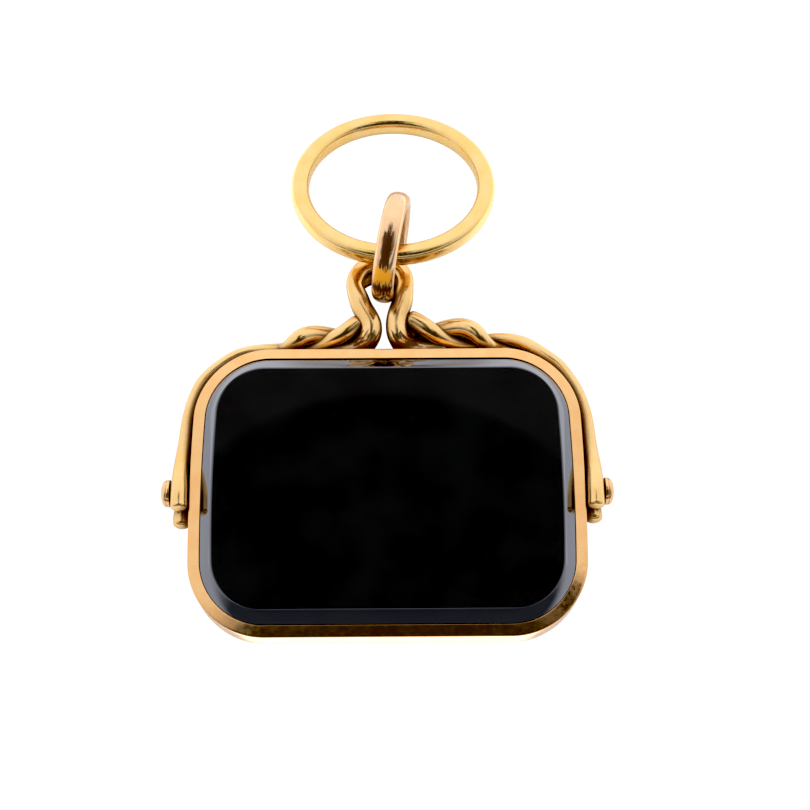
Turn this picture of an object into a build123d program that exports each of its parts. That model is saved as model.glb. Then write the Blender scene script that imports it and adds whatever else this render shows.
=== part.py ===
from build123d import *
from math import asin, atan, cos, hypot, radians, sin, sqrt, tan
import os

# Swivel seal fob pendant, lying on its back: a dark stone in a gold bezel that spins between the arms of a
# knotted wire yoke, with a jump link and a hanging ring. Millimetres, +X to the right, +Y towards the ring,
# +Z up from the surface that it lies on. The swivel axis runs along X through Y = 0.

# Seal: the bezel and its stone
seal_width = 28.0
seal_height = 21.2
seal_corner = 5.3
side_bow = 0.34
rim_face = 0.82
rim_corner = 4.8
rim_slope = 0.17
edge_round = 0.12
stone_thickness = 4.2
table_rise = 0.75
bevel_width = 0.85
bevel_height = 0.97
table_corner = 3.6
girdle_tuck = 0.22
lip_depth = 0.36
setting_gap = 0.04

# Swivel pins
pin_diameter = 0.84
running_gap = 0.03
press_gap = 0.01
pin_head_diameter = 1.95
pin_head_thickness = 0.66
pin_head_brim = 0.2
pin_neck = 0.28

# Wire of the yoke, and how far it stays from the seal
wire_diameter = 1.08
arm_gap = 0.13
spin_gap = 0.09
strand_gap = 0.03
bearing_wall = 0.09
arm_tail = 2.0
end_bevel = 0.2
bearing_share = 0.95
bearing_thickness = 0.86
solder_share = 0.97
smallest_bend = 1.25
bend_share = 0.45

# Arch that holds the link
arch_wire_diameter = 1.2
arch_shift = -0.52
arch_radius = 1.9
arch_rise = 6.72
neck_shift = -0.28
neck_gap = 0.42
neck_low_share = 0.39
neck_high_share = 0.68
foot_bend_share = 1.33
arch_bend_share = 0.96
foot_overlap = 0.6
strand_start = 0.3
foot_lift = 0.33

# Jump link and hanging ring
link_hole_radius = 2.96
link_thickness = 1.2
link_width = 1.63
link_round = 0.5
link_turn = 10.7
link_play = 0.75
link_set_back = 0.32
link_floor_gap = 0.12
ring_hole_radius = 6.5
ring_thickness = 1.22
ring_width = 1.56
ring_round = 0.5
ring_shift = 0.12
ring_seat_up = 0.3
ring_seat_back = 0.345

os.makedirs("parts", exist_ok=True)

# Sizes that follow
half_width = seal_width / 2
half_height = seal_height / 2
pivot_height = stone_thickness / 2
rim_half = pivot_height - table_rise
wall_half = rim_half - rim_slope
girdle_half = rim_half - lip_depth
inner_half_width = half_width - rim_face
inner_half_height = half_height - rim_face
girdle_half_width = inner_half_width + girdle_tuck
girdle_half_height = inner_half_height + girdle_tuck
girdle_corner = rim_corner + girdle_tuck
table_half_width = inner_half_width - bevel_width
table_half_height = inner_half_height - bevel_height
wire_radius = wire_diameter / 2
arch_wire_radius = arch_wire_diameter / 2
pin_radius = pin_diameter / 2
strand_spread = pin_radius + running_gap + bearing_wall + wire_radius
arm_x = half_width + arm_gap + wire_radius
turn_radius = seal_corner + arm_gap + wire_radius
bar_reach = half_width - seal_corner
bar_y = hypot(half_height, wall_half) + spin_gap + wire_radius
level_low = wire_radius
level_high = level_low + wire_diameter + strand_gap
arch_level = link_thickness + link_floor_gap + arch_wire_radius
arch_y = bar_y + arch_rise
post_rise = arch_rise - arch_radius
neck_low = bar_y + neck_low_share * post_rise
neck_high = bar_y + neck_high_share * post_rise
foot_bend = foot_bend_share * arch_wire_radius
foot_y = bar_y + foot_lift


def outline(width_half, height_half, corner):
    """A rounded rectangle whose left and right sides bow outwards."""
    with BuildSketch(Plane.XY) as shape:
        with BuildLine():
            top_right = (width_half - side_bow, height_half)
            bottom_right = (width_half - side_bow, -height_half)
            top_left = (side_bow - width_half, height_half)
            bottom_left = (side_bow - width_half, -height_half)
            Line(top_left, top_right)
            ThreePointArc(top_right, (width_half, 0), bottom_right)
            Line(bottom_right, bottom_left)
            ThreePointArc(bottom_left, (-width_half, 0), top_left)
        make_face()
        fillet(shape.vertices(), corner)
    return shape.sketch


def layer(shape, height):
    """The same outline at another height."""
    return shape.moved(Location((0, 0, height)))


def wire_path(points, tightest):
    """Straight runs joined by tangent arcs as large as the free runs allow, or as the row states."""
    places = [Vector(*row[:3]) for row in points]
    runs = [there - here for here, there in zip(places, places[1:])]
    slopes = [tan(radians(run_in.get_angle(run_out)) / 2) for run_in, run_out in zip(runs, runs[1:])]
    free = [run.length for run in runs]
    for number, (row, slope) in enumerate(zip(points[1:], slopes)):
        for stated in row[3:]:
            free[number] -= stated * slope
            free[number + 1] -= stated * slope
    radii = []
    for row, slope, before, after in zip(points[1:], slopes, free, free[1:]):
        widest = bend_share * min(before, after) / slope
        radii.append(row[3] if len(row) > 3 else max(widest, tightest))
    return places, radii


def arm_end(side, corner_y, level, spread):
    """The last two points of a strand: the corner of the yoke and the end beside the swivel pin."""
    rise = (level - pivot_height - spread) / corner_y
    end_level = pivot_height + spread - rise * arm_tail
    return [(side * arm_x, corner_y, level, turn_radius), (side * arm_x, -arm_tail, end_level)]


def knot(side, rows):
    """Places a knot's rows: share of the bar's half, wire diameters above the bar, share of the level."""
    return [(side * reach * bar_reach, bar_y + lift * wire_diameter, level_low + share * (level_high - level_low))
            for reach, lift, share in rows]


# Knot rows: reach, lift, level. The front strand runs from its soldered end to the arm.
front_left = [(0.25, 1.86, 1.0), (0.40, 1.09, 1.0), (0.60, 0.14, 0.45), (0.76, 0.09, 0.1), (0.92, 0.14, 1.0)]
front_right = [(0.18, 2.21, 1.0), (0.40, 1.22, 1.0), (0.62, 0.17, 0.45), (0.79, 0.14, 0.1), (0.93, 0.49, 1.0)]
# The rear strand runs from the foot of the arch's post to the arm.
rear_left = [(0.30, 0.17, 0.0), (0.47, 0.95, 0.5), (0.73, 0.95, 1.0), (0.83, 0.17, 0.5), (0.93, 0.10, 0.0)]
rear_right = [(0.30, 0.17, 0.0), (0.48, 1.48, 0.5), (0.74, 1.48, 1.0), (0.85, 0.17, 0.5), (0.94, 0.10, 0.0)]
# How far a front strand's bar drops before the arm's corner.
corner_drop_left = 0.0
corner_drop_right = 1.55

post_left = neck_shift - neck_gap / 2 - arch_wire_radius
post_right = neck_shift + neck_gap / 2 + arch_wire_radius
arch_left = arch_shift - arch_radius
arch_right = arch_shift + arch_radius
foot_left = Vector(post_left, foot_y, arch_level)
foot_right = Vector(post_right, foot_y, arch_level)
rear_rows_left = knot(-1, rear_left)
rear_rows_right = knot(1, rear_right)


def along(foot, rows, share):
    """A point on the run from a post's foot to the first row of its knot."""
    return tuple(foot + (Vector(*rows[0]) - foot) * share)


arch_route = [
    along(foot_left, rear_rows_left, foot_overlap),
    (*foot_left, foot_bend),
    (post_left, neck_low, arch_level),
    (arch_left, neck_high, arch_level),
    (arch_left, arch_y, arch_level, arch_bend_share * arch_radius),
    (arch_right, arch_y, arch_level, arch_bend_share * arch_radius),
    (arch_right, neck_high, arch_level),
    (post_right, neck_low, arch_level),
    (*foot_right, foot_bend),
    along(foot_right, rear_rows_right, foot_overlap),
]
rear_start_left = along(foot_left, rear_rows_left, strand_start)
rear_start_right = along(foot_right, rear_rows_right, strand_start)
strand_routes = [
    [rear_start_left] + rear_rows_left + arm_end(-1, bar_y, level_low, -strand_spread),
    [rear_start_right] + rear_rows_right + arm_end(1, bar_y, level_low, -strand_spread),
    knot(-1, front_left) + arm_end(-1, bar_y - corner_drop_left, level_high, strand_spread),
    knot(1, front_right) + arm_end(1, bar_y - corner_drop_right, level_high, strand_spread),
]

swivel_line = Axis((0, 0, pivot_height), (1, 0, 0))
outer_outline = outline(half_width, half_height, seal_corner)
opening_outline = outline(inner_half_width, inner_half_height, rim_corner)


def across(x):
    """The plane that cuts the swivel axis at x, with its origin on the axis."""
    return Plane(origin=(x, 0, pivot_height), x_dir=(0, 1, 0), z_dir=(1, 0, 0))


def cut_stone(gap, mode):
    """The stone's girdle and its two bevelled faces, grown by a gap."""
    lift = gap * tan(atan((pivot_height - girdle_half) / (girdle_half_width - table_half_width)) / 2)
    girdle = outline(girdle_half_width + gap, girdle_half_height + gap, girdle_corner + gap)
    table = outline(table_half_width + lift, table_half_height + lift, table_corner + lift)
    band = girdle_half + lift
    extrude(layer(girdle, pivot_height - band), amount=2 * band, mode=mode)
    for way in (1, -1):
        loft([layer(girdle, pivot_height + way * band),
              layer(table, pivot_height + way * (pivot_height + gap))], ruled=True, mode=mode)


# Stone: a flat table, eight bevel facets and a girdle, the same on the front and the back
with BuildPart() as stone:
    cut_stone(0, Mode.ADD)

# Bezel: a straight wall with sloping rims, grooved inside for the stone's girdle
with BuildPart() as bezel:
    extrude(layer(outer_outline, pivot_height - wall_half), amount=2 * wall_half)
    for way in (1, -1):
        loft([layer(outer_outline, pivot_height + way * wall_half),
              layer(opening_outline, pivot_height + way * rim_half)], ruled=True)
    for way in (1, -1):
        rim_level = pivot_height + way * wall_half
        corners = bezel.edges().filter_by(lambda edge: abs(edge.center().Z - rim_level) < edge_round / 2)
        fillet(corners, edge_round)
    extrude(layer(opening_outline, 0), amount=stone_thickness, mode=Mode.SUBTRACT)
    cut_stone(setting_gap, Mode.SUBTRACT)
    with BuildSketch(across(0)):
        Circle(pin_radius + press_gap)
    extrude(amount=seal_width, both=True, mode=Mode.SUBTRACT)

# Yoke: the doubled wire, woven into two knots and soldered into one piece
with BuildPart() as yoke:
    for route in [arch_route] + strand_routes:
        radius = arch_wire_radius if route is arch_route else wire_radius
        places, radii = wire_path(route, smallest_bend * radius)
        with BuildLine(mode=Mode.PRIVATE) as path:
            FilletPolyline(*places, radius=radii)
        with BuildSketch(Plane(origin=path.line @ 0, z_dir=path.line % 0)) as section:
            Circle(radius)
        with BuildPart(mode=Mode.PRIVATE) as strand:
            sweep(section.sketch, path=path.line)
            if route is not arch_route:
                chamfer(strand.faces().sort_by(Axis.Y)[0].edges(), end_bevel)
        add(strand.part)
    for route in strand_routes[2:]:
        with Locations(route[0]):
            Sphere(solder_share * wire_radius)
    for side in (1, -1):
        with BuildSketch(across(side * arm_x)):
            Circle(bearing_share * strand_spread)
        extrude(amount=bearing_thickness / 2, both=True)
    with BuildSketch(across(0)):
        Circle(pin_radius + running_gap)
    extrude(amount=seal_width, both=True, mode=Mode.SUBTRACT)

# Pins: a shank held in the bezel's wall, running in the arm's bearing, with a domed head outside
pin_start = girdle_half_width + 2 * setting_gap
head_start = arm_x + wire_radius + pin_neck
brim_end = head_start + pin_head_brim
head_radius = pin_head_diameter / 2
dome_height = pin_head_thickness - pin_head_brim
dome_radius = (head_radius ** 2 + dome_height ** 2) / (2 * dome_height)
dome_top = brim_end + dome_height
half_dome = asin(head_radius / dome_radius) / 2
dome_middle = (dome_top - dome_radius * (1 - cos(half_dome)), dome_radius * sin(half_dome))
for side, name in ((-1, "pivot_pin_left"), (1, "pivot_pin_right")):
    with BuildPart() as pin:
        with BuildSketch(Plane(origin=(0, 0, pivot_height), x_dir=(side, 0, 0), z_dir=(0, -side, 0))):
            with BuildLine():
                Polyline((dome_top, 0), (pin_start, 0), (pin_start, pin_radius),
                         (head_start, pin_radius), (head_start, head_radius), (brim_end, head_radius))
                ThreePointArc((brim_end, head_radius), dome_middle, (dome_top, 0))
            make_face()
        revolve(axis=swivel_line)
    pin.part.label = name
    export_step(pin.part, f"parts/{name}.step")

# Jump link: stands on edge, turned a little, with the arch's wire through it
turn = radians(link_turn)
link_outer = link_hole_radius + link_thickness
link_middle = link_hole_radius + link_thickness / 2
link_axis = (cos(turn), -sin(turn), 0)
link_room = arch_radius - arch_wire_radius - link_width / 2 / cos(turn)
link_dip = sqrt(link_middle ** 2 - (link_outer - arch_level) ** 2)
link_x = arch_shift + link_play * link_room + link_dip * sin(turn)
link_place = (link_x, arch_y + link_set_back, link_outer)
link_side = Plane(origin=link_place, x_dir=link_axis, z_dir=Vector(*link_axis).cross(Vector(0, 0, 1)))
with BuildPart() as jump_link:
    with BuildSketch(link_side):
        with Locations((0, link_middle)):
            RectangleRounded(link_width, link_thickness, link_round)
    revolve(axis=Axis(link_place, link_axis))

# Hanging ring: its near side passes through the link, its far side lies on the surface
ring_middle = ring_hole_radius + ring_thickness / 2
near_level = link_outer + ring_seat_up * link_hole_radius
across_far = 2 * ring_middle + ring_thickness / 2 - ring_round
up_far = ring_width / 2 - ring_round
lean = asin((near_level - ring_round) / hypot(across_far, up_far)) - atan(up_far / across_far)
ring_place = (
    link_x + ring_shift,
    link_place[1] - ring_seat_back * link_hole_radius + ring_middle * cos(lean),
    near_level - ring_middle * sin(lean),
)
ring_axis = (0, sin(lean), cos(lean))
ring_side = Plane(origin=ring_place, x_dir=(1, 0, 0), z_dir=(0, -cos(lean), sin(lean)))
with BuildPart() as hanging_ring:
    with BuildSketch(ring_side):
        with Locations((ring_middle, 0)):
            RectangleRounded(ring_thickness, ring_width, ring_round)
    revolve(axis=Axis(ring_place, ring_axis))

for piece, name in ((stone, "stone"), (bezel, "bezel"), (yoke, "yoke"),
                    (jump_link, "jump_link"), (hanging_ring, "hanging_ring")):
    piece.part.label = name
    export_step(piece.part, f"parts/{name}.step")
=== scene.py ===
"""Swivel seal fob pendant: a dark bevelled stone in a gold band that spins between the arms of a knotted wire
yoke, with a jump link and a hanging ring. It lies on its back. Metres, +X right, +Y towards the ring, +Z up."""

import math

import bpy
import numpy as np
from mathutils import Matrix


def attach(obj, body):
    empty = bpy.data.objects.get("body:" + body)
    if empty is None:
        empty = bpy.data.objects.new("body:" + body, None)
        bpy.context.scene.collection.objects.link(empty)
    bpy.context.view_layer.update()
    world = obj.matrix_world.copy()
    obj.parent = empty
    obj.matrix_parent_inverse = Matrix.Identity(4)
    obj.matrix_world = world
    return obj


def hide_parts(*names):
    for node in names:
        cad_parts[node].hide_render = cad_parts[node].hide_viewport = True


bl_info = {
    "name": "Swivel Seal Fob Pendant",
    "version": (1, 0, 0),
    "blender": (4, 5, 0),
    "location": "View3D > Sidebar > Seal Fob",
    "description": "Builds a swivel seal fob pendant in gold and dark stone, with its stage",
    "category": "Add Mesh",
}

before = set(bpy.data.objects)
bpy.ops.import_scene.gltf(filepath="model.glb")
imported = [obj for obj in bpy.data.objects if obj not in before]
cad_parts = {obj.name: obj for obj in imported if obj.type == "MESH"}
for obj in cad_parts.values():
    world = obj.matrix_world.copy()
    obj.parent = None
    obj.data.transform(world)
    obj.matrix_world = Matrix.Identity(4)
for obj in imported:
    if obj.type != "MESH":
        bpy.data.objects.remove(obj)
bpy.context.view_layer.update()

MM = 0.001
PIVOT_HEIGHT = 2.1 * MM  # The swivel axis above the floor.
UP = np.array([0.0, 0.0, 1.0])
FULL_TURN = 2 * math.pi
PHOTO_SIDE = 810  # Pixels.


# Surfaces

def unit(vectors):
    """Vectors divided by their own length."""
    return vectors / np.linalg.norm(vectors, axis=-1, keepdims=True)


def smooth_step(values, start, end):
    """Zero before start, one after end, and 3 t squared less 2 t cubed between them."""
    share = np.clip((values - start) / (end - start), 0, 1)
    return share * share * (3 - 2 * share)


def spline(points, count, ease):
    """The natural cubic spline through points, at count places. Its parameter is the length of the runs between
    the points, its second derivatives solve the usual three-term system, and the places crowd to both ends by a
    cosine as ease goes to one."""
    points = np.asarray(points, float)
    knots = np.concatenate([[0], np.cumsum(np.linalg.norm(np.diff(points, axis=0), axis=1))])
    steps = np.diff(knots)
    system = np.eye(len(points))
    target = np.zeros_like(points)
    inner = np.arange(1, len(points) - 1)
    system[inner, inner - 1] = steps[:-1]
    system[inner, inner] = 2 * (steps[:-1] + steps[1:])
    system[inner, inner + 1] = steps[1:]
    slopes = np.diff(points, axis=0) / steps[:, None]
    target[inner] = 6 * np.diff(slopes, axis=0)
    bend = np.linalg.solve(system, target)
    even = np.linspace(0, 1, count)
    crowded = (1 - np.cos(math.pi * even)) / 2
    place = knots[-1] * (ease * crowded + (1 - ease) * even)
    run = np.clip(np.searchsorted(knots, place, side="right") - 1, 0, len(steps) - 1)
    step = steps[run][:, None]
    after = ((place - knots[run]) / steps[run])[:, None]
    before = 1 - after
    arch = (before ** 3 - before) * bend[run] + (after ** 3 - after) * bend[run + 1]
    return before * points[run] + after * points[run + 1] + arch * step ** 2 / 6


def around(count):
    """Angles once round a section, without the last one, which would repeat the first."""
    return np.linspace(0, FULL_TURN, count, endpoint=False)


def mesh_piece(name, rings, material, body, replaces=(), closed=False):
    """A surface from an array of rings, each closed on itself. Closed rings make a band, and otherwise each end gets
    a fan to the ring's middle. The surface points outwards when the sum of its corner products is positive. Its UV
    map holds metres along the rows and round the rings."""
    rows, columns = rings.shape[:2]
    grid = np.arange(rows * columns).reshape(rows, columns)
    points = rings.reshape(-1, 3)
    if closed:
        grid = np.vstack([grid, grid[:1]])
    grid = np.hstack([grid, grid[:, :1]])
    quads = np.stack([grid[:-1, :-1], grid[:-1, 1:], grid[1:, 1:], grid[1:, :-1]], axis=-1).reshape(-1, 4)
    run = np.linalg.norm(np.diff(rings[:, :1], axis=0), axis=-1).ravel()
    if closed:
        run = np.append(run, np.linalg.norm(rings[0, 0] - rings[-1, 0]))
    along = np.concatenate([[0], np.cumsum(run)])
    girth = np.linalg.norm(np.diff(np.vstack([rings[rows // 2], rings[rows // 2][:1]]), axis=0), axis=-1)
    across = np.concatenate([[0], np.cumsum(girth)])
    sheet = np.stack(np.meshgrid(along, across, indexing="ij"), axis=-1)
    quad_map = np.stack([sheet[:-1, :-1], sheet[:-1, 1:], sheet[1:, 1:], sheet[1:, :-1]], axis=-2).reshape(-1, 2)
    faces, maps = [quads], [quad_map]
    if not closed:
        poles = rings[[0, -1]].mean(axis=1)
        points = np.vstack([points, poles])
        first = np.full(columns, rows * columns)
        faces.append(np.stack([first, grid[0, 1:], grid[0, :-1]], axis=-1))
        faces.append(np.stack([first + 1, grid[-1, :-1], grid[-1, 1:]], axis=-1))
        for row, order in ((0, (1, 0)), (-1, (0, 1))):
            edge = np.stack([sheet[row, :-1], sheet[row, 1:]], axis=1)[:, list(order)]
            maps.append(np.concatenate([edge.mean(axis=1, keepdims=True), edge], axis=1).reshape(-1, 2))
    volume = sum(np.einsum("ij,ij->", points[part[:, 0]],
                           np.cross(points[part[:, second]], points[part[:, second + 1]]))
                 for part in faces for second in range(1, part.shape[1] - 1))
    mesh = bpy.data.meshes.new(name)
    mesh.from_pydata(points.tolist(), [], [face for part in faces for face in part.tolist()])
    layer = mesh.uv_layers.new(name="surface")
    layer.data.foreach_set("uv", np.vstack(maps).astype(np.float32).ravel())
    if volume < 0:
        mesh.flip_normals()
    mesh.polygons.foreach_set("use_smooth", np.ones(len(mesh.polygons), bool))
    mesh.update()
    piece = bpy.data.objects.new(name, mesh)
    bpy.context.scene.collection.objects.link(piece)
    mesh.materials.append(material)
    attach(piece, body)
    if replaces:
        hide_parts(*replaces)


def wire_rings(path, radii, columns, squash=1.0):
    """Circles carried along a path that never runs straight up: the path plus the radius times the cosine towards
    the level side and the sine, times squash, towards the side that looks up."""
    forward = unit(np.gradient(path, axis=0))
    side = unit(np.cross(forward, UP))
    lift = np.cross(side, forward)
    angles = around(columns)[None, :, None]
    flat = np.cos(angles) * side[:, None] + squash * np.sin(angles) * lift[:, None]
    return path[:, None] + radii[:, None, None] * flat


def rounded_ends(path, first, last, power):
    """The share of the full radius along a path whose ends are rounded over the lengths first and last: one less
    the distance share to the power, all to one over the power."""
    reach = np.concatenate([[0], np.cumsum(np.linalg.norm(np.diff(path, axis=0), axis=1))])
    share = np.ones_like(reach)
    smallest = 1e-4
    for away, run in ((reach, first), (reach[-1] - reach, last)):
        left = np.clip(1 - away / run, 0, 1)
        share *= np.clip(1 - left ** power, smallest, 1) ** (1 / power)
    return share


def turned(profile, centre, axis, start, columns):
    """A profile of radius and height turned once round an axis through centre: the centre plus radius times the
    cosine towards start and the sine towards the third direction, plus height along the axis."""
    axis = unit(np.asarray(axis, float))
    start = unit(np.asarray(start, float))
    third = np.cross(axis, start)
    angles = around(columns)[:, None]
    radial = np.cos(angles) * start + np.sin(angles) * third
    reach, height = profile[:, 0][None, :, None], profile[:, 1][None, :, None]
    return np.asarray(centre) + reach * radial[:, None] + height * axis


def soft_rectangle(half_wide, half_high, corner, bow, columns):
    """Rounded rectangles, one for each size, with sides that bow outwards: the corner's middle plus the corner
    radius along the normal, narrowed by bow times the square of the height share."""
    quarter = columns // 4
    turn = np.linspace(0, 1, quarter // 2, endpoint=False) * math.pi / 2
    run = np.linspace(-1, 1, quarter - quarter // 2, endpoint=False)
    bend, side = np.ones_like(turn), np.ones_like(run)
    middle_x = np.concatenate([bend, -run, -bend, -side, -bend, run, bend, side])
    middle_y = np.concatenate([bend, side, bend, -run, -bend, -side, -bend, run])
    angle = np.concatenate([turn, side * math.pi / 2, turn + math.pi / 2, side * math.pi,
                            turn + math.pi, side * 1.5 * math.pi, turn + 1.5 * math.pi, side * 0])
    x = middle_x * (half_wide - corner)[:, None] + corner[:, None] * np.cos(angle)
    y = middle_y * (half_high - corner)[:, None] + corner[:, None] * np.sin(angle)
    return x * (1 - bow / half_wide[:, None] * (y / half_high[:, None]) ** 2), y


def rounded_profile(corners, radius, steps):
    """A closed outline with its corners rounded: each corner becomes a curve of second degree that leaves one side
    and meets the next at the stated radius from the corner."""
    corners = np.asarray(corners, float)
    before = np.roll(corners, 1, axis=0)
    after = np.roll(corners, -1, axis=0)
    radius = np.broadcast_to(radius, len(corners))[:, None]
    start = corners + unit(before - corners) * radius
    end = corners + unit(after - corners) * radius
    share = np.linspace(0, 1, steps)[None, :, None]
    curve = ((1 - share) ** 2 * start[:, None] + 2 * share * (1 - share) * corners[:, None]
             + share ** 2 * end[:, None])
    return curve.reshape(-1, corners.shape[1])


def squared_section(hole, thickness, width, power, count=56):
    """A ring's section as radius and height, outside its hole: the curve where x to the power plus y to the power is
    one, stretched to the thickness and the width. A power of 2 gives an ellipse, and more is squarer."""
    cosine, sine = np.cos(around(count)), np.sin(around(count))
    size = (np.abs(cosine) ** power + np.abs(sine) ** power) ** (-1 / power)
    return np.stack([hole + thickness / 2 * (1 + cosine * size), width / 2 * (sine * size)], axis=1)


def ball_rings(rise, columns):
    """Rings of a ball of radius one at the angles of rise: the cosine of the rise times the cosine and the sine of
    the turn, and the sine of the rise."""
    rise, turn = rise[:, None], around(columns)
    return np.stack([np.cos(rise) * np.cos(turn), np.cos(rise) * np.sin(turn),
                     np.sin(rise) * np.ones_like(turn)], axis=-1)


# Finishes

# Painted shade and grime in crevices: a dark brown laid where little of the surroundings is open.
GRIME_AND_PAINTED_SHADE = (0.11, 0.05, 0.015)
# Colours of the painted reflections across the link: a dark brown and an amber.
BROWN_PAINTED_REFLECTION = (0.1, 0.034, 0.01)
AMBER_PAINTED_REFLECTION = (1.0, 0.44, 0.03)


def add_node(tree, kind, settings=None, **inputs):
    """Adds a shader node, sets its own fields, and sets or links its inputs, whose names have _ for a space."""
    node = tree.nodes.new(kind)
    for field, value in (settings or {}).items():
        setattr(node, field, value)
    for name, value in inputs.items():
        socket = node.inputs[name.replace("_", " ")]
        if isinstance(value, bpy.types.NodeSocket):
            tree.links.new(value, socket)
        else:
            socket.default_value = value
    return node


def new_finish(name):
    """A material without nodes, and its node tree."""
    material = bpy.data.materials.new(name)
    material.use_nodes = True
    material.node_tree.nodes.clear()
    return material, material.node_tree


def noise(tree, place, size, detail, stretch=None):
    """Noise whose patches are about size metres across, drawn out along a direction where stretch is given."""
    if stretch is not None:
        place = add_node(tree, "ShaderNodeMapping", Vector=place, Scale=stretch).outputs[0]
    return add_node(tree, "ShaderNodeTexNoise", Vector=place, Scale=1 / size, Detail=detail).outputs["Fac"]


def between(tree, value, low, high, to_low, to_high):
    """A value carried from one range to another: its share t of the first range becomes 3 t squared less 2 t cubed
    of the second."""
    node = add_node(tree, "ShaderNodeMapRange", {"interpolation_type": "SMOOTHSTEP"}, Value=value)
    for name, number in (("From Min", low), ("From Max", high), ("To Min", to_low), ("To Max", to_high)):
        node.inputs[name].default_value = number
    return node.outputs[0]


def combine(tree, operation, *values):
    """The result of one arithmetic step on numbers or sockets."""
    node = add_node(tree, "ShaderNodeMath", {"operation": operation})
    for socket, value in zip(node.inputs, values):
        if isinstance(value, bpy.types.NodeSocket):
            tree.links.new(value, socket)
        else:
            socket.default_value = value
    return node.outputs[0]


def tint(tree, share, base, shade):
    """A base colour, given as numbers or as a socket, changing to a shade by a share."""
    mix = add_node(tree, "ShaderNodeMix", {"data_type": "RGBA"})
    tree.links.new(share, mix.inputs[0])
    if isinstance(base, bpy.types.NodeSocket):
        tree.links.new(base, mix.inputs[6])
    else:
        mix.inputs[6].default_value = (*base, 1)
    mix.inputs[7].default_value = (*shade, 1)
    return mix.outputs[2]


def reflection_patch_shares(tree, place, surface, axis, offset, reflection_patches):
    """Shares of painted reflection patches across a loop, each the product of soft steps at its ends and its sides.
    A patch has its first and last length along the loop and its half width along the loop's axis. Fine noise frays
    it."""
    dot = add_node(tree, "ShaderNodeVectorMath", {"operation": "DOT_PRODUCT"})
    tree.links.new(place, dot.inputs[0])
    dot.inputs[1].default_value = axis
    across = combine(tree, "ABSOLUTE", combine(tree, "SUBTRACT", dot.outputs["Value"], offset))
    brush = noise(tree, surface, 0.12 * MM, detail=3.0, stretch=(0.15, 1.0, 1.0))
    end_fray, side_fray = 2.4 * MM, 0.15
    fray = combine(tree, "MULTIPLY", combine(tree, "SUBTRACT", brush, 0.5), end_fray)
    along = combine(tree, "ADD", add_node(tree, "ShaderNodeSeparateXYZ", Vector=surface).outputs[0], fray)
    wide = combine(tree, "MULTIPLY_ADD", fray, side_fray, across)
    soft_side, soft_end = 0.06 * MM, 0.15 * MM
    shares = []
    for first, last, half in reflection_patches:
        ends = combine(tree, "MULTIPLY", between(tree, along, first - soft_end, first + soft_end, 0, 1),
                       between(tree, along, last - soft_end, last + soft_end, 1, 0))
        sides = between(tree, wide, half - soft_side, half + soft_side, 1, 0)
        shares.append(combine(tree, "MULTIPLY", ends, sides))
    return shares


def painted_shade_share(tree, place, surface, middle, radius, fray):
    """The share of a soft ball of painted shade: one inside, and none beyond its radius. Noise of the fray's length
    frays its edge along the surface's rows."""
    away = add_node(tree, "ShaderNodeVectorMath", {"operation": "DISTANCE"})
    tree.links.new(place, away.inputs[0])
    away.inputs[1].default_value = middle
    brush = noise(tree, surface, 0.16 * MM, detail=3.0, stretch=(0.12, 1.0, 1.0))
    edge = combine(tree, "MULTIPLY_ADD", combine(tree, "SUBTRACT", brush, 0.5), fray, away.outputs["Value"])
    soft_edge = 0.25 * MM
    return between(tree, edge, radius - soft_edge, radius, 1, 0)


def gold(name, tone, deep, polish, grain, reach, loop=None, reflection_patches=(), painted_shade=()):
    """Worn polished gold, mottled between two tones, with fine streaks along the piece, small dents and soft
    smears. Painted shade and grime darken it where the share of open surroundings falls below reach, and it
    carries painted shade in soft balls and painted reflections in patches across a loop. These marks are rougher
    and less metallic than the gold. Polish is the clean gold's roughness, and grain the strength of its streaks."""
    material, tree = new_finish(name)
    coordinates = add_node(tree, "ShaderNodeTexCoord")
    place, surface = coordinates.outputs["Object"], coordinates.outputs["UV"]
    mottle = noise(tree, place, 1.6 * MM, detail=4.0)
    smears = noise(tree, place, 0.35 * MM, detail=3.0)
    streaks = noise(tree, surface, 0.07 * MM, detail=3.0, stretch=(0.06, 1.0, 1.0))
    dents = noise(tree, place, 0.8 * MM, detail=1.0)
    base = tint(tree, between(tree, mottle, 0.35, 0.7, 0, 1), tone, deep)
    # Painted shade and grime: the gold turns dark brown where little of the surroundings is open.
    open_share = add_node(tree, "ShaderNodeAmbientOcclusion", {"samples": 6}, Distance=1.0 * MM).outputs["AO"]
    fully_darkened = reach - 0.38
    grime_and_painted_light = between(tree, open_share, fully_darkened, reach, 1, 0)
    base = tint(tree, grime_and_painted_light, base, GRIME_AND_PAINTED_SHADE)
    marks = [(painted_shade_share(tree, place, surface, middle, radius, fray), shade)
             for middle, radius, fray, shade in painted_shade]
    if loop:
        shares = reflection_patch_shares(tree, place, surface, *loop, [patch[:3] for patch in reflection_patches])
        marks += list(zip(shares, [patch[3] for patch in reflection_patches]))
    for share, shade in marks:
        base = tint(tree, share, base, shade)
        grime_and_painted_light = combine(tree, "MAXIMUM", grime_and_painted_light, share)
    darkened_rough, darkened_dull = 0.42, 0.6
    clean = between(tree, smears, 0.3, 0.75, polish, 2.2 * polish)
    rough = combine(tree, "MAXIMUM", clean, combine(tree, "MULTIPLY", grime_and_painted_light, darkened_rough))
    fine = add_node(tree, "ShaderNodeBump", Height=streaks, Strength=grain, Distance=0.01 * MM)
    bump = add_node(tree, "ShaderNodeBump", Height=dents, Strength=0.25, Distance=0.03 * MM,
                    Normal=fine.outputs[0])
    metal = combine(tree, "SUBTRACT", 1, combine(tree, "MULTIPLY", grime_and_painted_light, darkened_dull))
    shader = add_node(tree, "ShaderNodeBsdfPrincipled", Base_Color=base, Roughness=rough, Metallic=metal,
                      Normal=bump.outputs[0])
    add_node(tree, "ShaderNodeOutputMaterial", Surface=shader.outputs[0])
    return material


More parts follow.
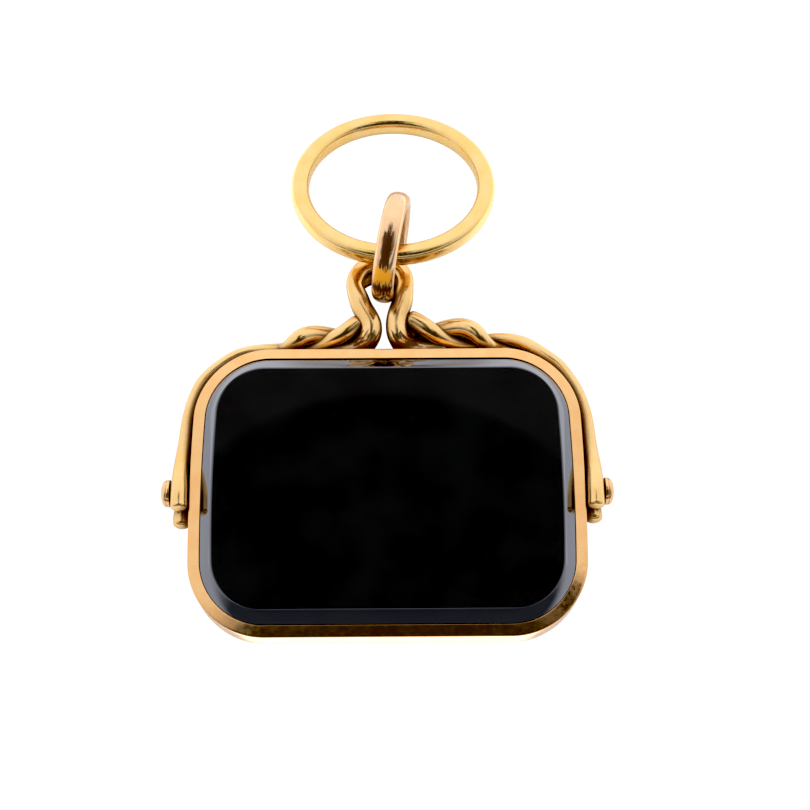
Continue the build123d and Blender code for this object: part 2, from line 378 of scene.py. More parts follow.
def dark_stone(name, tone, deep, fleck, gloss):
    """Very dark polished chalcedony: a near-black ground with deeper clouds and a few hidden flecks, a hard gloss
    with a slight blue tint, and polishing marks that only a reflection shows."""
    material, tree = new_finish(name)
    place = add_node(tree, "ShaderNodeTexCoord").outputs["Object"]
    clouds = noise(tree, place, 4 * MM, detail=5.0)
    specks = noise(tree, place, 0.9 * MM, detail=2.0)
    ground = tint(tree, between(tree, clouds, 0.35, 0.65, 0, 1), tone, deep)
    speckled = tint(tree, between(tree, specks, 0.7, 0.78, 0, 1), ground, fleck)
    marks = noise(tree, place, 0.12 * MM, detail=2.0, stretch=(0.15, 1.0, 1.0))
    rough = between(tree, marks, 0.45, 0.8, 0.015, 0.04)
    wave = noise(tree, place, 5 * MM, detail=1.0)
    bump = add_node(tree, "ShaderNodeBump", Height=wave, Strength=0.04, Distance=0.05 * MM)
    shader = add_node(tree, "ShaderNodeBsdfPrincipled", Base_Color=speckled, Roughness=rough, IOR=gloss,
                      Specular_Tint=(0.87, 0.89, 1, 1), Coat_Weight=1.0, Coat_Roughness=0.015,
                      Coat_Tint=(0.93, 0.94, 1, 1), Normal=bump.outputs[0])
    add_node(tree, "ShaderNodeOutputMaterial", Surface=shader.outputs[0])
    return material


# Sizes and colours

def length(title, text, default):
    """A length in metres, given in millimetres."""
    return bpy.props.FloatProperty(name=title, description=text, default=default * MM, min=0.0,
                                   unit="LENGTH", subtype="DISTANCE", precision=5)


def colour(title, text, default):
    """A linear colour."""
    return bpy.props.FloatVectorProperty(name=title, description=text, default=default, size=3,
                                         min=0.0, max=1.0, subtype="COLOR")


class FobSealSettings(bpy.types.PropertyGroup):
    """Sizes of the gold band and the stone that it holds"""
    width: length("Width", "Width of the band along the swivel axis", 28.0)
    height: length("Height", "Height of the band across the swivel axis", 21.2)
    corner: length("Corner radius", "Radius of the band's corners", 5.3)
    bow: length("Side bow", "How far the sides bow outwards", 0.34)
    face: length("Rim width", "Width of the sloping rim seen from the front", 0.82)
    rim_half: length("Rim half height", "Height of the rim's inner edge above the swivel axis", 1.35)
    wall_half: length("Wall half height", "Height of the rim's outer edge above the swivel axis", 1.18)
    table_half: length("Table half height", "Height of the stone's table above the swivel axis", 2.1)
    table_inset: length("Table inset", "Distance from the band's outside to the table's side edges", 1.6)
    table_inset_ends: length("Table inset, top", "Distance from the band's outside to the table's top edge", 1.79)
    girdle_half: length("Girdle half height", "Height where the bevels meet the girdle", 1.07)
    girdle_inset: length("Girdle inset", "Distance from the band's outside to the stone's girdle", 0.6)


class FobYokeSettings(bpy.types.PropertyGroup):
    """Sizes of the knotted wire yoke"""
    arm_wire: length("Arm wire", "Diameter of the doubled wires at the corners", 0.94)
    knot_wire: length("Knot wire", "Diameter of the wires in the knots", 1.18)
    end_wire: length("End wire", "Diameter of the wires beside the pins", 1.2)
    arch_wire: length("Arch wire", "Diameter of the arch that holds the link", 1.26)
    leg_wire: length("Leg wire", "Diameter of the arch's two legs", 1.54)


class FobRingSettings(bpy.types.PropertyGroup):
    """Sizes of the jump link, the hanging ring and the pins"""
    link_hole: length("Link hole radius", "Inner radius of the jump link", 2.96)
    link_thickness: length("Link thickness", "Radial thickness of the jump link", 1.2)
    link_width: length("Link width", "Width of the jump link along its axis", 1.63)
    ring_hole: length("Ring hole radius", "Inner radius of the hanging ring", 6.42)
    ring_thickness: length("Ring thickness", "Radial thickness of the hanging ring", 1.36)
    ring_width: length("Ring width", "Width of the hanging ring along its axis", 1.44)
    pin_shank: length("Pin radius", "Radius of the swivel pins", 0.42)
    pin_head: length("Pin head radius", "Radius of the pins' domed heads", 0.975)


class FobFinishSettings(bpy.types.PropertyGroup):
    """Colours of the metal and the stone"""
    band: colour("Band", "Gold of the band", (0.94, 0.575, 0.27))
    yoke: colour("Yoke", "Gold of the knotted yoke", (0.965, 0.655, 0.305))
    link: colour("Link", "Gold of the jump link", (0.965, 0.66, 0.4))
    ring: colour("Ring", "Gold of the hanging ring", (0.98, 0.685, 0.3))
    pins: colour("Pins", "Gold of the swivel pins", (0.97, 0.63, 0.31))
    stone: colour("Stone", "Ground colour of the stone", (0.0035, 0.0045, 0.0045))
    gloss: bpy.props.FloatProperty(name="Stone gloss", description="Refractive index of the polished stone",
                                   default=2.75, min=1.3, max=3.2)


class FobStageSettings(bpy.types.PropertyGroup):
    """The floor, the light tent and the camera"""
    floor_glow: bpy.props.FloatProperty(name="Floor glow", description="Light that the floor gives off",
                                        default=1.05, min=0.0, max=10.0)
    tent_light: bpy.props.FloatProperty(name="Tent light", description="Brightness of the tent's walls",
                                        default=1.0, min=0.0, max=10.0)
    black_level: bpy.props.FloatProperty(name="Black level", description="Light below which the picture is black",
                                         default=0.02, min=0.0, max=0.1)
    focal_pixels: bpy.props.FloatProperty(name="Focal length", description="Focal length in image pixels",
                                          default=1448.82, min=100.0)


# Pieces

class FOB_OT_stone(bpy.types.Operator):
    """Build the bevelled stone"""
    bl_idname = "fob.stone"
    bl_label = "Stone"

    def execute(self, context):
        seal, look = context.scene.fob_seal, context.scene.fob_finish
        table_corner, girdle_corner, edge_softness, steps = 3.35 * MM, 4.7 * MM, 0.035 * MM, 6
        # Each row holds the inset from the sides, the inset from the ends, the corner radius and the height.
        table = np.array([seal.table_inset, seal.table_inset_ends, table_corner, seal.table_half])
        girdle = np.array([seal.girdle_inset, seal.girdle_inset, girdle_corner, seal.girdle_half])
        under = [1, 1, 1, -1]
        flat = [np.array([seal.width / 2 - (seal.width / 2 - table[0]) * part,
                          seal.height / 2 - (seal.height / 2 - table[1]) * part, table[2] * part, table[3]])
                for part in (0.3, 0.6, 0.8, 0.9, 0.96, 0.985, 0.996)]
        edge = rounded_profile(np.array([flat[-1], table, girdle, girdle * under]), edge_softness, steps)
        rows = np.vstack([flat[:-1], edge[steps:3 * steps]])
        rows = np.vstack([rows, rows[::-1] * under])
        x, y = soft_rectangle(seal.width / 2 - rows[:, 0], seal.height / 2 - rows[:, 1], rows[:, 2],
                              seal.bow, columns=240)
        height = np.broadcast_to((PIVOT_HEIGHT + rows[:, 3])[:, None], x.shape)
        ground, fleck = tuple(look.stone), (0.011, 0.0035, 0.003)
        finish = dark_stone("polished_dark_stone", ground, tuple(0.35 * part for part in ground), fleck,
                            look.gloss)
        mesh_piece("bevelled_stone", np.stack([x, y, height], axis=-1), finish, "seal", ["stone"])
        return {"FINISHED"}


class FOB_OT_band(bpy.types.Operator):
    """Build the gold band round the stone"""
    bl_idname = "fob.band"
    bl_label = "Band"

    def execute(self, context):
        seal, look = context.scene.fob_seal, context.scene.fob_finish
        gap, slack, lip_depth, steps = 0.04 * MM, 0.02 * MM, 0.055 * MM, 6
        lip = seal.rim_half - lip_depth
        groove, groove_half = seal.girdle_inset - gap, seal.girdle_half + slack
        # The section from the outer wall over the front rim, the groove that holds the girdle, and the back rim.
        corners = np.array([
            [0, -seal.wall_half], [0, seal.wall_half], [seal.face, seal.rim_half], [seal.face, lip],
            [groove, groove_half], [groove, -groove_half], [seal.face, -lip], [seal.face, -seal.rim_half],
        ])
        softness = np.array([0.11, 0.08, 0.03, 0.01, 0.03, 0.03, 0.01, 0.03]) * MM
        profile = rounded_profile(corners, softness, steps)
        # Both long flats get rows of their own: the outer wall and the front rim.
        wall_top, rim_in = steps, 2 * steps
        rest = np.linspace(0, 1, 7)[1:-1, None]
        wall = profile[wall_top - 1] + (profile[wall_top] - profile[wall_top - 1]) * rest
        slope = profile[rim_in - 1] + (profile[rim_in] - profile[rim_in - 1]) * rest
        profile = np.vstack([profile[:wall_top], wall, profile[wall_top:rim_in], slope, profile[rim_in:]])
        x, y = soft_rectangle(seal.width / 2 - profile[:, 0], seal.height / 2 - profile[:, 0],
                              seal.corner - profile[:, 0], seal.bow, columns=320)
        height = np.broadcast_to((PIVOT_HEIGHT + profile[:, 1])[:, None], x.shape)
        rings = np.stack([x, y, height], axis=-1).swapaxes(0, 1)
        finish = gold("band_gold", tuple(look.band), (0.93, 0.52, 0.22), polish=0.1, grain=0.25, reach=0.7)
        mesh_piece("stone_band", rings, finish, "seal", ["bezel"], closed=True)
        return {"FINISHED"}


class FOB_OT_pins(bpy.types.Operator):
    """Build the two swivel pins"""
    bl_idname = "fob.pins"
    bl_label = "Swivel pins"

    def execute(self, context):
        sizes, look = context.scene.fob_rings, context.scene.fob_finish
        shank, head = sizes.pin_shank, sizes.pin_head
        # Distances out along the swivel axis: the shank's start, the head's start, its brim and its dome's top.
        inner, neck, brim, dome = 13.48 * MM, 15.46 * MM, 15.7 * MM, 16.14 * MM
        corners = np.array([[inner, 0], [inner, shank], [neck, shank], [neck, head], [brim, head],
                            [brim + 0.1 * MM, 0]])
        edge_softness, steps = 0.06 * MM, 5
        body = rounded_profile(corners, edge_softness, steps)[steps:-steps]
        # The dome's radius is the root of one less the distance share to the power.
        cap_start, cap_radius, cap_power = brim + 0.03 * MM, head - 0.02 * MM, 2.2
        share = np.linspace(0.02, 0.995, 14)
        cap = np.stack([cap_start + (dome - cap_start) * share, cap_radius * np.sqrt(1 - share ** cap_power)],
                       axis=1)
        out, radius = np.vstack([body, cap]).T[:, :, None]
        finish = gold("pin_gold", tuple(look.pins), (0.93, 0.55, 0.28), polish=0.09, grain=0.15, reach=0.75)
        angles = around(56)
        for side, name in ((-1, "left"), (1, "right")):
            rings = np.stack([side * out * np.ones_like(angles), radius * np.cos(angles),
                              PIVOT_HEIGHT + radius * np.sin(angles)], axis=-1)
            mesh_piece(f"swivel_pin_{name}", rings, finish, "seal", [f"pivot_pin_{name}"])
        return {"FINISHED"}


# Points of the yoke in millimetres: across the pendant, up it towards the ring, and height.
# The arch's centre line, from its left foot over the top to its right foot.
ARCH_POINTS = [
    (-4.75, 11.5, 0.82), (-3.9, 11.42, 0.84), (-2.94, 11.4, 0.9), (-2.19, 11.52, 1.15), (-1.58, 11.83, 1.6),
    (-1.22, 12.31, 1.86), (-1.16, 12.98, 1.92), (-1.47, 13.77, 1.93), (-1.87, 14.51, 1.93), (-2.16, 15.33, 1.93),
    (-2.4, 16.32, 1.92), (-2.18, 17.14, 1.92), (-1.5, 17.86, 1.92), (-0.52, 18.06, 1.92), (0.46, 17.86, 1.92),
    (1.14, 17.3, 1.92), (1.35, 16.71, 1.92), (1.3, 15.8, 1.93), (1.12, 14.82, 1.93), (0.82, 13.92, 1.93),
    (0.68, 13.05, 1.9), (0.78, 12.3, 1.86), (1.14, 11.78, 1.6), (1.78, 11.5, 1.15), (2.53, 11.42, 0.9),
    (3.5, 11.45, 0.84), (4.45, 11.55, 0.82),
]
# The knot wires from inside to the corner, for the left side and the right side.
KNOT_POINTS = {
    "front_left": [(-1.9, 13.4, 1.95), (-2.68, 12.75, 1.97), (-3.26, 12.34, 1.92), (-3.88, 12.04, 1.75),
                   (-4.56, 11.79, 1.4), (-5.4, 11.64, 1.0), (-6.39, 11.58, 0.75), (-7.43, 11.55, 0.75),
                   (-8.45, 11.4, 1.1), (-9.6, 11.16, 1.5)],
    "front_right": [(1.45, 13.62, 1.95), (2.38, 13.12, 1.98), (3.12, 12.59, 1.92), (3.94, 12.12, 1.65),
                    (4.85, 11.88, 1.2), (5.91, 11.87, 0.8), (6.98, 12.07, 0.66), (8.1, 12.29, 0.75),
                    (9.22, 12.15, 1.05), (10.2, 11.76, 1.35)],
    "rear_left": [(-1.14, 11.55, 0.65), (-2.04, 11.85, 0.72), (-3.17, 12.23, 0.8), (-4.28, 12.43, 1.15),
                  (-5.31, 12.42, 1.55), (-6.18, 12.14, 1.85), (-6.8, 11.72, 1.9), (-7.26, 11.44, 1.6),
                  (-7.78, 11.43, 1.05), (-8.57, 11.44, 0.62), (-9.7, 11.25, 0.6)],
    "rear_right": [(0.96, 11.61, 0.68), (1.86, 11.95, 0.72), (2.76, 12.34, 0.85), (3.74, 12.71, 1.2),
                   (4.76, 12.88, 1.6), (5.73, 12.79, 1.9), (6.46, 12.41, 2.0), (7.05, 11.82, 1.95),
                   (7.54, 11.48, 1.6), (8.13, 11.42, 1.05), (8.99, 11.43, 0.62), (10.1, 11.25, 0.6)],
}
# The arms' centre lines from the corner down to the pin, seen from above.
ARM_POINTS = {
    "left": [(-10.82, 10.83), (-12.24, 9.95), (-13.11, 9.13), (-13.64, 8.39), (-13.95, 7.65), (-14.18, 6.91),
             (-14.34, 6.14), (-14.45, 5.35), (-14.5, 4.49), (-14.6, 3.07), (-14.7, 1.5), (-14.69, 0.0),
             (-14.66, -1.2)],
    "right": [(11.93, 10.45), (12.56, 9.92), (13.19, 9.03), (13.63, 8.28), (14.0, 7.43), (14.2, 6.75),
              (14.37, 5.98), (14.47, 5.17), (14.52, 4.23), (14.6, 2.88), (14.7, 1.32), (14.7, -0.2),
              (14.67, -1.2)],
}
# Where each wire ends beyond its pin, seen from above.
WIRE_ENDS = {"front_left": (-14.63, -1.55), "front_right": (14.64, -1.55), "rear_left": (-14.63, -2.3),
             "rear_right": (14.64, -2.05)}
# The heights of the front and rear wires at the corner and at the pin.
ARM_HEIGHTS = {"front": (1.62, 3.2), "rear": (0.6, 1.06)}
# How much thicker each wire gets where it swells in its knot.
KNOT_SWELL = {"front_left": 0.14, "front_right": 0.22, "rear_left": 0.22, "rear_right": 0.22}
# Solder pads between the wires: middle and half size.
SOLDER_PADS = {
    "solder_left": ((-2.4, 12.25, 0.7), (1.0, 0.75, 0.5)),
    "solder_right": ((2.6, 12.1, 0.72), (1.7, 0.75, 0.5)),
    "solder_strand": ((1.75, 12.75, 1.35), (0.6, 0.6, 0.45)),
}
# The bearings on the pins: distance out, inner and outer radius, and half width.
BEARING_PLACE, BEARING_HOLE, BEARING_RADIUS, BEARING_HALF = 14.66, 0.44, 0.85, 0.5
# Painted shade in the arch and at its feet: middle, radius, length of the frayed edge, and colour.
YOKE_PAINTED_SHADE = [
    ((-0.45, 17.0, 0.9), 1.7, 0.0, (0.1, 0.04, 0.012)),
    ((-1.2, 11.35, 1.3), 1.6, 2.4, (0.13, 0.045, 0.012)),
    ((0.8, 11.35, 1.3), 1.65, 2.4, (0.13, 0.045, 0.012)),
]


def arch_paths():
    """The centre lines of the arch's upper and lower wire, and the share by which its legs are thicker. The wires
    part from the middle line in height, less in the feet, and the lower one is drawn back under the top."""
    middle = spline(np.array(ARCH_POINTS) * MM, count=280, ease=0.0)
    up = middle[:, 1]
    legs = smooth_step(up, 16.6 * MM, 14.8 * MM)
    arch = smooth_step(up, 11.55 * MM, 12.3 * MM)[:, None]
    crown = smooth_step(up, 15.8 * MM, 18.0 * MM)[:, None]
    upper = middle + (arch * [0, -0.15, 0.44] + (1 - arch) * [0, 0, 0.2]) * MM
    lower = middle - (arch * [0, 0, 0.2] + (1 - arch) * [0, 0.1, 0.25]) * MM
    return upper, lower + crown * [0, -0.95 * MM, 0.05 * MM], legs


def knot_path(name):
    """The centre line of a wire from inside its knot to its end beyond the pin. Along the arm its height goes from
    the corner's to the pin's, 0.6 of it evenly and 0.4 of it in a soft step beside the pin."""
    layer, side = name.split("_")
    arm = np.array(ARM_POINTS[side] + [WIRE_ENDS[name]]) * MM
    at_corner, at_pin = ARM_HEIGHTS[layer]
    rise = 0.6 * (1 - arm[:, 1] / (11.2 * MM)) + 0.4 * smooth_step(arm[:, 1], 2.4 * MM, 0.3 * MM)
    height = (at_corner + (at_pin - at_corner) * rise) * MM
    route = np.vstack([np.array(KNOT_POINTS[name]) * MM, np.column_stack([arm, height])])
    return spline(route, count=360, ease=0.3)


def knot_swell(name, out):
    """The share of a wire's swelling by its distance out: a front wire swells at the knot's inner end, and a rear
    wire in the knot's middle."""
    if name.startswith("front"):
        return smooth_step(out, 4.8 * MM, 2.8 * MM)
    return smooth_step(out, 2.4 * MM, 4.0 * MM) * smooth_step(out, 7.4 * MM, 6.2 * MM)


class FOB_OT_yoke(bpy.types.Operator):
    """Build the knotted wire yoke with its arch and pin bearings"""
    bl_idname = "fob.yoke"
    bl_label = "Knotted yoke"

    def execute(self, context):
        yoke, look = context.scene.fob_yoke, context.scene.fob_finish
        # Painted shade: dark brown balls in the arch and at its feet.
        painted_shade = [(tuple(np.array(middle) * MM), radius * MM, fray * MM, shade)
                   for middle, radius, fray, shade in YOKE_PAINTED_SHADE]
        finish = gold("yoke_gold", tuple(look.yoke), (0.94, 0.6, 0.25), polish=0.12, grain=0.12, reach=0.97,
                      painted_shade=painted_shade)

        upper, lower, legs = arch_paths()
        diameter = yoke.arch_wire + (yoke.leg_wire - yoke.arch_wire) * legs
        for name, path, squash, replaces in (("arch_wire", upper, 0.78, ["yoke"]),
                                             ("lower_arch_wire", lower, 0.68, ())):
            share = rounded_ends(path, first=0.3 * MM, last=0.3 * MM, power=2.6)
            rings = wire_rings(path, share * diameter / 2, columns=40, squash=squash)
            mesh_piece(name, rings, finish, "yoke", replaces)

        for name in KNOT_POINTS:
            path = knot_path(name)
            out, up = np.abs(path[:, 0]), path[:, 1]
            in_knot = smooth_step(out, 9.0 * MM, 6.2 * MM)
            near_pin = smooth_step(up, 7.0 * MM, 0.5 * MM)
            swell = knot_swell(name, out) * KNOT_SWELL[name] * MM
            is_front = name.startswith("front")
            # The rear wires flare outwards beyond the pins.
            flare = smooth_step(up, -0.6 * MM, -1.6 * MM) * (0 if is_front else 0.12) * MM
            path[:, 0] += np.sign(path[:, 0]) * flare / 2
            diameter = (yoke.arm_wire + (yoke.knot_wire - yoke.arm_wire) * in_knot
                        + (yoke.end_wire - yoke.arm_wire) * near_pin + swell + flare)
            first, last = (0.5 * MM, 0.3 * MM) if is_front else (0.3 * MM, 0.5 * MM)
            share = rounded_ends(path, first, last, power=2.3)
            rings = wire_rings(path, share * diameter / 2, columns=36)
            mesh_piece(f"{name}_wire", rings, finish, "yoke")

        pad = ball_rings(np.linspace(-0.47, 0.47, 20) * math.pi, columns=32)
        for name, (middle, half) in SOLDER_PADS.items():
            mesh_piece(name, (np.array(middle) + pad * half) * MM, finish, "yoke")

        corners = np.array([[BEARING_HOLE, -BEARING_HALF], [BEARING_RADIUS, -BEARING_HALF],
                            [BEARING_RADIUS, BEARING_HALF], [BEARING_HOLE, BEARING_HALF]])
        profile = rounded_profile(corners * MM, radius=0.12 * MM, steps=6)
        for side, name in ((-1, "left"), (1, "right")):
            rings = turned(profile, (side * BEARING_PLACE * MM, 0, PIVOT_HEIGHT), axis=(1, 0, 0),
                           start=(0, 1, 0), columns=64)
            mesh_piece(f"pin_bearing_{name}", rings, finish, "yoke", closed=True)
        return {"FINISHED"}


# The link's middle, and its axis, turned off the sideways direction.
LINK_CENTRE, LINK_TURN = (0.347, 18.335, 4.16), math.radians(10.7)
# Painted reflections across the link: start and end along the loop from its top, half width, and colour.
LINK_PAINTED_REFLECTIONS = [(0.65, 3.5, 0.36, BROWN_PAINTED_REFLECTION), (3.5, 4.8, 0.62, AMBER_PAINTED_REFLECTION), (4.9, 5.85, 0.75, BROWN_PAINTED_REFLECTION)]
# The ring's middle, and how far its axis leans off the upright.
RING_CENTRE, RING_LEAN = (0.51, 24.06, 2.93), math.radians(17.35)


class FOB_OT_link(bpy.types.Operator):
    """Build the jump link"""
    bl_idname = "fob.link"
    bl_label = "Jump link"

    def execute(self, context):
        sizes, look = context.scene.fob_rings, context.scene.fob_finish
        profile = squared_section(sizes.link_hole, sizes.link_thickness, sizes.link_width, power=2.2)
        centre, axis = np.array(LINK_CENTRE) * MM, (math.cos(LINK_TURN), -math.sin(LINK_TURN), 0)
        rings = turned(profile, centre, axis, start=UP, columns=160)
        # Painted reflections across the link, in brown and amber.
        link_painted_reflections = [(first * MM, last * MM, half * MM, shade) for first, last, half, shade in LINK_PAINTED_REFLECTIONS]
        # Painted shade on the link's inner side: a darker gold within the hole's radius and a little beyond it.
        painted_shade = [(tuple(centre), sizes.link_hole + 0.3 * MM, 0.0, (0.42, 0.21, 0.06))]
        finish = gold("link_gold", tuple(look.link), (0.95, 0.57, 0.32), polish=0.12, grain=0.15, reach=0.32,
                      loop=(axis, float(centre @ axis)), reflection_patches=link_painted_reflections, painted_shade=painted_shade)
        mesh_piece("jump_link_loop", rings, finish, "yoke", ["jump_link"], closed=True)
        return {"FINISHED"}


class FOB_OT_ring(bpy.types.Operator):
    """Build the hanging ring"""
    bl_idname = "fob.ring"
    bl_label = "Hanging ring"

    def execute(self, context):
        sizes, look = context.scene.fob_rings, context.scene.fob_finish
        profile = squared_section(sizes.ring_hole, sizes.ring_thickness, sizes.ring_width, power=2.8)
        axis = (0, math.sin(RING_LEAN), math.cos(RING_LEAN))
        rings = turned(profile, np.array(RING_CENTRE) * MM, axis, start=(1, 0, 0), columns=240)
        finish = gold("ring_gold", tuple(look.ring), (0.97, 0.64, 0.23), polish=0.13, grain=0.04, reach=0.75)
        mesh_piece("hanging_ring_loop", rings, finish, "yoke", ["hanging_ring"], closed=True)
        return {"FINISHED"}


# Stage

def plain_object(name, points, faces, material):
    """A stage object from points and faces."""
    mesh = bpy.data.meshes.new(name)
    mesh.from_pydata([tuple(point) for point in points], [], faces)
    mesh.materials.append(material)
    item = bpy.data.objects.new(name, mesh)
    bpy.context.scene.collection.objects.link(item)
    return item


def tent_finish(light):
    """The tent's light by direction: bright walls, brighter towards the ring, and dark parts overhead and on the
    camera's side. The light is the bright value times one less the dark share, plus the deep value times it."""
    material, tree = new_finish("tent_light")
    place = add_node(tree, "ShaderNodeTexCoord").outputs["Object"]
    way = add_node(tree, "ShaderNodeVectorMath", {"operation": "NORMALIZE"})
    tree.links.new(place, way.inputs[0])
    split = add_node(tree, "ShaderNodeSeparateXYZ", Vector=way.outputs[0])
    x, y, z = split.outputs

    def times(first, second):
        """The product of two values."""
        return combine(tree, "MULTIPLY", first, second)

    def plus(first, second):
        """The sum of two values."""
        return combine(tree, "ADD", first, second)

    def off(value, middle):
        """How far a value is from a middle, either way."""
        return combine(tree, "ABSOLUTE", combine(tree, "SUBTRACT", value, middle))

    def squared_off(value, middle):
        """The square of the distance from a middle."""
        return combine(tree, "POWER", combine(tree, "SUBTRACT", value, middle), 2)

    # Dark parts: a strip overhead, a wedge that widens towards the camera, and a patch on the right.
    side = combine(tree, "ABSOLUTE", x)
    strip = times(between(tree, side, 0.15, 0.2, 1, 0), between(tree, y, 0.385, 0.43, 1, 0))
    forward = combine(tree, "DIVIDE", times(y, -1), combine(tree, "MAXIMUM", side, 0.001))
    wedge = between(tree, plus(forward, between(tree, x, -0.2, 0.2, -0.12, 0.22)), -0.2, 0.95, 0, 1)
    patch = times(between(tree, off(x, 0.43), 0.08, 0.14, 1, 0), between(tree, off(y, -0.03), 0.1, 0.16, 1, 0))
    # A lit gap at one height interrupts them, and they fade out low down.
    gap = times(between(tree, z, 0.38, 0.44, 0, 0.85), between(tree, z, 0.54, 0.64, 1, 0))
    shown = times(combine(tree, "SUBTRACT", 1, gap), between(tree, z, -0.01, 0.11, 0, 1))
    dark = times(combine(tree, "MAXIMUM", combine(tree, "MAXIMUM", strip, wedge), patch), shown)
    # The dark parts still give a little light: more towards the ring, outside a round middle, and low down.
    ringward = between(tree, y, 0.1, 0.2, 0, 1)
    from_disc = combine(tree, "SQRT", plus(squared_off(x, -0.008), squared_off(y, 0.135)))
    outside = times(between(tree, from_disc, 0.217, 0.2215, 0, 0.015), ringward)
    deep = plus(between(tree, y, 0, 0.2, 0.042, 0.0895), plus(outside, between(tree, z, 0.6, 0.3, 0, 0.09)))
    bright = between(tree, y, 0.2, 0.8, 0.96 * light, 1.12 * light)
    strength = plus(times(bright, combine(tree, "SUBTRACT", 1, dark)), times(deep, dark))
    white, warm_white = (1, 1, 1), (1, 0.945, 0.815)
    shader = add_node(tree, "ShaderNodeEmission", Color=tint(tree, times(dark, ringward), white, warm_white),
                      Strength=strength)
    add_node(tree, "ShaderNodeOutputMaterial", Surface=shader.outputs[0])
    return material


def floor_finish(glow):
    """The floor that the camera sees: one even light."""
    material, tree = new_finish("pale_floor")
    shader = add_node(tree, "ShaderNodeEmission", Strength=glow)
    add_node(tree, "ShaderNodeOutputMaterial", Surface=shader.outputs[0])
    return material


def mirrored_finish():
    """The floor that only the pendant sees: pale, with a glow in front of the band and a fainter one on both sides
    beyond the arch. Each glow is a product of soft steps along and aside."""
    material, tree = new_finish("mirrored_floor")
    level = add_node(tree, "ShaderNodeSeparateXYZ",
                     Vector=add_node(tree, "ShaderNodeTexCoord").outputs["Object"])
    aside, along = combine(tree, "ABSOLUTE", level.outputs[0]), level.outputs[1]
    front = combine(tree, "MULTIPLY", between(tree, along, -10.4 * MM, -11.0 * MM, 0, 1.3),
                    between(tree, along, -13 * MM, -20 * MM, 1, 0))
    front = combine(tree, "MULTIPLY", front, between(tree, aside, 11 * MM, 14 * MM, 1, 0))
    beyond = combine(tree, "MULTIPLY", between(tree, along, 15 * MM, 19 * MM, 0, 0.38),
                     between(tree, along, 45 * MM, 70 * MM, 1, 0))
    beyond = combine(tree, "MULTIPLY", beyond, between(tree, aside, 6.5 * MM, 10 * MM, 0, 1))
    shader = add_node(tree, "ShaderNodeBsdfPrincipled", Base_Color=(0.92, 0.92, 0.92, 1), Roughness=0.9,
                      Specular_IOR_Level=0.0, Emission_Color=(1, 1, 1, 1),
                      Emission_Strength=combine(tree, "ADD", front, beyond))
    add_node(tree, "ShaderNodeOutputMaterial", Surface=shader.outputs[0])
    return material


class FOB_OT_stage(bpy.types.Operator):
    """Build the floor, the light tent and the camera"""
    bl_idname = "fob.stage"
    bl_label = "Stage"

    def execute(self, context):
        stage = context.scene.fob_stage
        columns, floor_radius, sunk = 96, 0.6, 0.01 * MM
        turn = around(columns)
        rim = floor_radius * np.stack([np.cos(turn), np.sin(turn), 0 * turn], axis=1)
        disc = [list(range(columns))]
        floor = plain_object("pale_floor", rim, disc, floor_finish(stage.floor_glow))
        floor.visible_glossy = floor.visible_diffuse = floor.visible_transmission = False
        mirrored = plain_object("mirrored_floor", rim - [0, 0, sunk], disc, mirrored_finish())
        mirrored.visible_camera = mirrored.visible_transmission = False

        rows, tent_radius = 48, 0.55
        rings = tent_radius * ball_rings(np.linspace(-0.05, math.pi / 2 - 0.005, rows), columns)
        grid = np.arange(rows * columns).reshape(rows, columns)
        grid = np.hstack([grid, grid[:, :1]])
        quads = np.stack([grid[:-1, :-1], grid[:-1, 1:], grid[1:, 1:], grid[1:, :-1]], axis=-1).reshape(-1, 4)
        faces = quads.tolist() + [grid[-1, :-1].tolist()]
        tent = plain_object("light_tent", rings.reshape(-1, 3), faces, tent_finish(stage.tent_light))
        tent.visible_camera = tent.visible_diffuse = tent.visible_shadow = False
        tent.visible_transmission = False

        world = bpy.data.worlds.new("soft_white")
        world.use_nodes = True
        background = world.node_tree.nodes["Background"]
        background.inputs["Color"].default_value = (1, 1, 1, 1)
        background.inputs["Strength"].default_value = 1.1
        context.scene.world = world
        view = context.scene.view_settings
        view.view_transform = "Standard"
        view.use_curve_mapping = True
        view.curve_mapping.black_level = [stage.black_level] * 3
        view.curve_mapping.update()

        camera_data = bpy.data.cameras.new("camera")
        camera_data.lens = stage.focal_pixels / PHOTO_SIDE * camera_data.sensor_width
        camera_data.clip_start, camera_data.clip_end = 0.001, 5
        camera = bpy.data.objects.new("camera", camera_data)
        context.scene.collection.objects.link(camera)
        context.scene.camera = camera
        camera.matrix_world = camera_place()
        return {"FINISHED"}


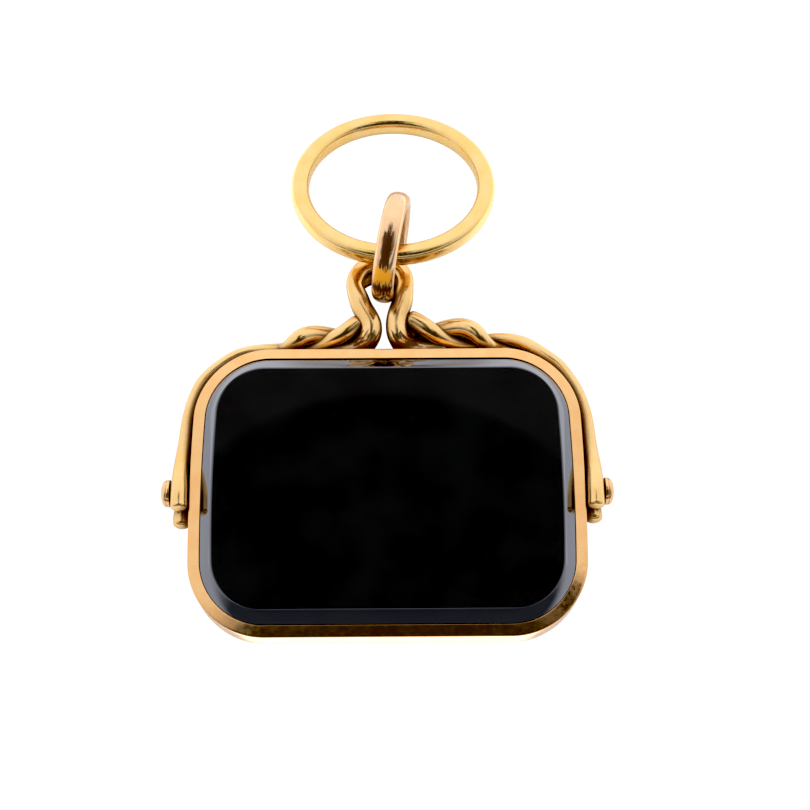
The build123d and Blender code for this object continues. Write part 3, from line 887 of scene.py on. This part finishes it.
def camera_place():
    """The camera's matrix: it looks at a point on the floor from a distance, tipped down, turned and rolled."""
    down, turn, roll = (math.radians(angle) for angle in (70.177, -1.306, 0.918))
    distance = 107.911 * MM
    aim = np.array([1.304, 7.386, 0.0]) * MM
    look = np.array([0, math.cos(down), -math.sin(down)])
    right = np.array([1.0, 0.0, 0.0])
    up = np.array([0, math.sin(down), math.cos(down)])
    about = np.array([[math.cos(turn), -math.sin(turn), 0], [math.sin(turn), math.cos(turn), 0], [0, 0, 1]])
    look, right, up = about @ look, about @ right, about @ up
    right, up = math.cos(roll) * right + math.sin(roll) * up, math.cos(roll) * up - math.sin(roll) * right
    place = Matrix(np.column_stack([right, up, -look]).tolist()).to_4x4()
    place.translation = aim - look * distance
    return place


class FOB_PT_panel(bpy.types.Panel):
    """The pendant's sizes, finishes and builders"""
    bl_idname = "FOB_PT_panel"
    bl_label = "Seal Fob"
    bl_space_type = "VIEW_3D"
    bl_region_type = "UI"
    bl_category = "Seal Fob"

    def draw(self, context):
        for operator in OPERATORS:
            self.layout.operator(operator.bl_idname)
        for field, group in SETTINGS.items():
            box = self.layout.box()
            for name in group.__annotations__:
                box.prop(getattr(context.scene, field), name)


OPERATORS = (FOB_OT_stone, FOB_OT_band, FOB_OT_pins, FOB_OT_yoke, FOB_OT_link, FOB_OT_ring, FOB_OT_stage)
SETTINGS = {
    "fob_seal": FobSealSettings,
    "fob_yoke": FobYokeSettings,
    "fob_rings": FobRingSettings,
    "fob_finish": FobFinishSettings,
    "fob_stage": FobStageSettings,
}


def register():
    for item in (*SETTINGS.values(), *OPERATORS, FOB_PT_panel):
        bpy.utils.register_class(item)
    for field, group in SETTINGS.items():
        setattr(bpy.types.Scene, field, bpy.props.PointerProperty(type=group))


def unregister():
    for field in SETTINGS:
        delattr(bpy.types.Scene, field)
    for item in reversed((*SETTINGS.values(), *OPERATORS, FOB_PT_panel)):
        bpy.utils.unregister_class(item)


def main():
    """Builds the pendant on its stage."""
    register()
    for operator in OPERATORS:
        group, name = operator.bl_idname.split(".")
        getattr(getattr(bpy.ops, group), name)()


if __name__ == "__main__":
    main()
